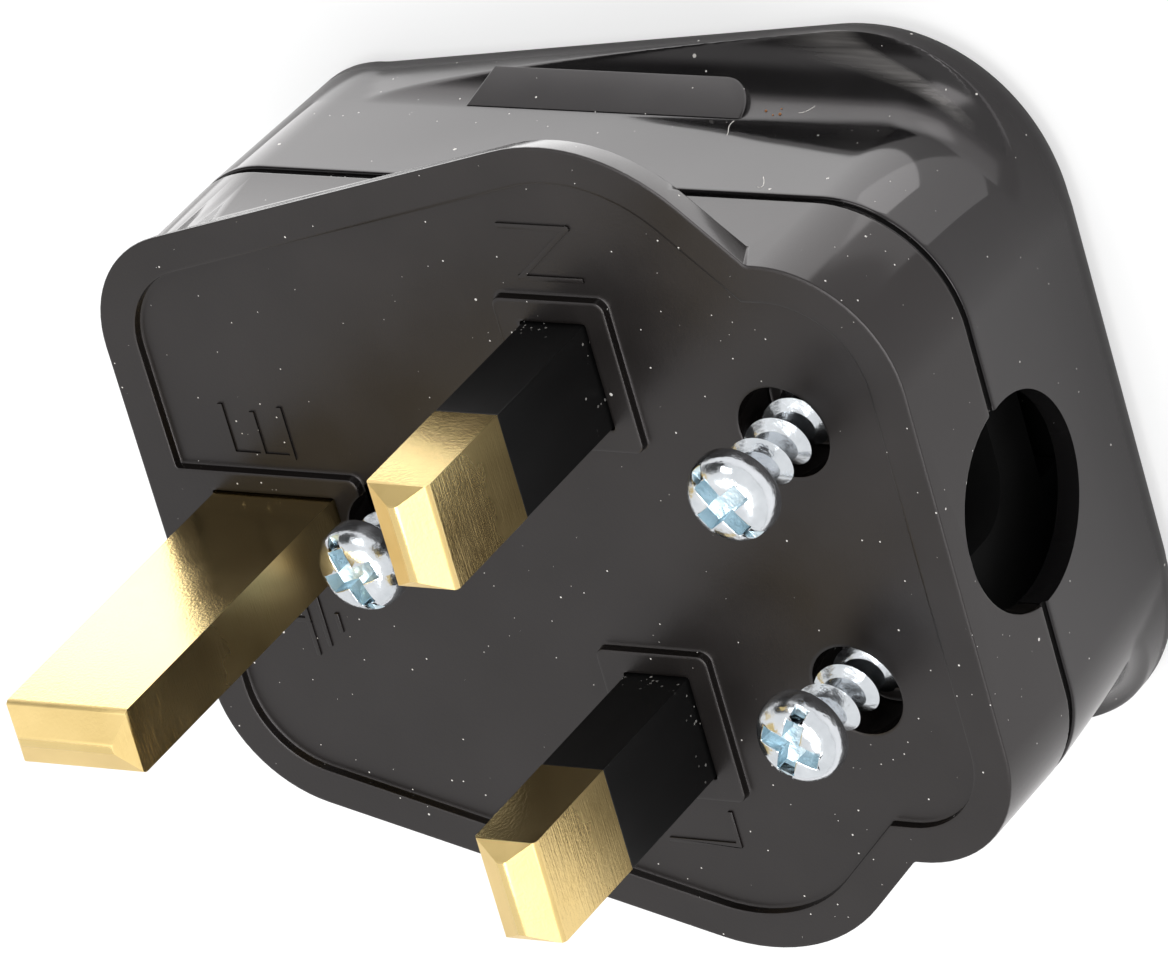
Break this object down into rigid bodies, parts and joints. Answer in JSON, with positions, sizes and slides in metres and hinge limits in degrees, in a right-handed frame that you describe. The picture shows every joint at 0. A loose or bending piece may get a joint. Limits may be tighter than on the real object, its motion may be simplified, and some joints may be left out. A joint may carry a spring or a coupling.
{
  "type": "uk three pin plug",
  "caption": "Rewirable three-pin mains plug with a flanged base, a scooped cover, brass pins in half sleeves, a cartridge fuse and a cord grip.",
  "frame": {"origin": "on the plane of the pin face, midway between the line and neutral pins", "axes": "+Z out along the pins, +Y towards the earth pin, +X towards the neutral pin; the cord enters from -Y"},
  "size_m": [0.0506, 0.052, 0.0433],
  "materials": {
    "base_plastic": "satin black",
    "cover_plastic": "gloss black",
    "pin_brass": "drawn and tumbled",
    "sleeve_plastic": "smooth black",
    "terminal_brass": "plain",
    "clip_metal": "plated spring strip",
    "fuse_ceramic": "unglazed ceramic",
    "fuse_cap_metal": "bright plated",
    "zinc_screw": "bright zinc",
    "grip_plastic": "plain black"
  },
  "bodies": {
    "root": {"base_moulding": "base_plastic", "cover_moulding": "cover_plastic", "earth_pin": "pin_brass", "neutral_pin": "pin_brass", "line_pin": "pin_brass", "neutral_sleeve": "sleeve_plastic", "line_sleeve": "sleeve_plastic", "line_terminal": "terminal_brass", "fuse_clip_pin": "clip_metal", "fuse_clip_terminal": "clip_metal", "fuse_barrel": "fuse_ceramic", "fuse_cap_pin_end": "fuse_cap_metal", "fuse_cap_terminal_end": "fuse_cap_metal", "earth_terminal_screw": "terminal_brass", "neutral_terminal_screw": "terminal_brass", "line_terminal_screw": "terminal_brass", "case_screw": "zinc_screw", "cord_grip": "grip_plastic", "cord_grip_screw_n": "zinc_screw", "cord_grip_screw_l": "zinc_screw"}
  },
  "joints": []
}
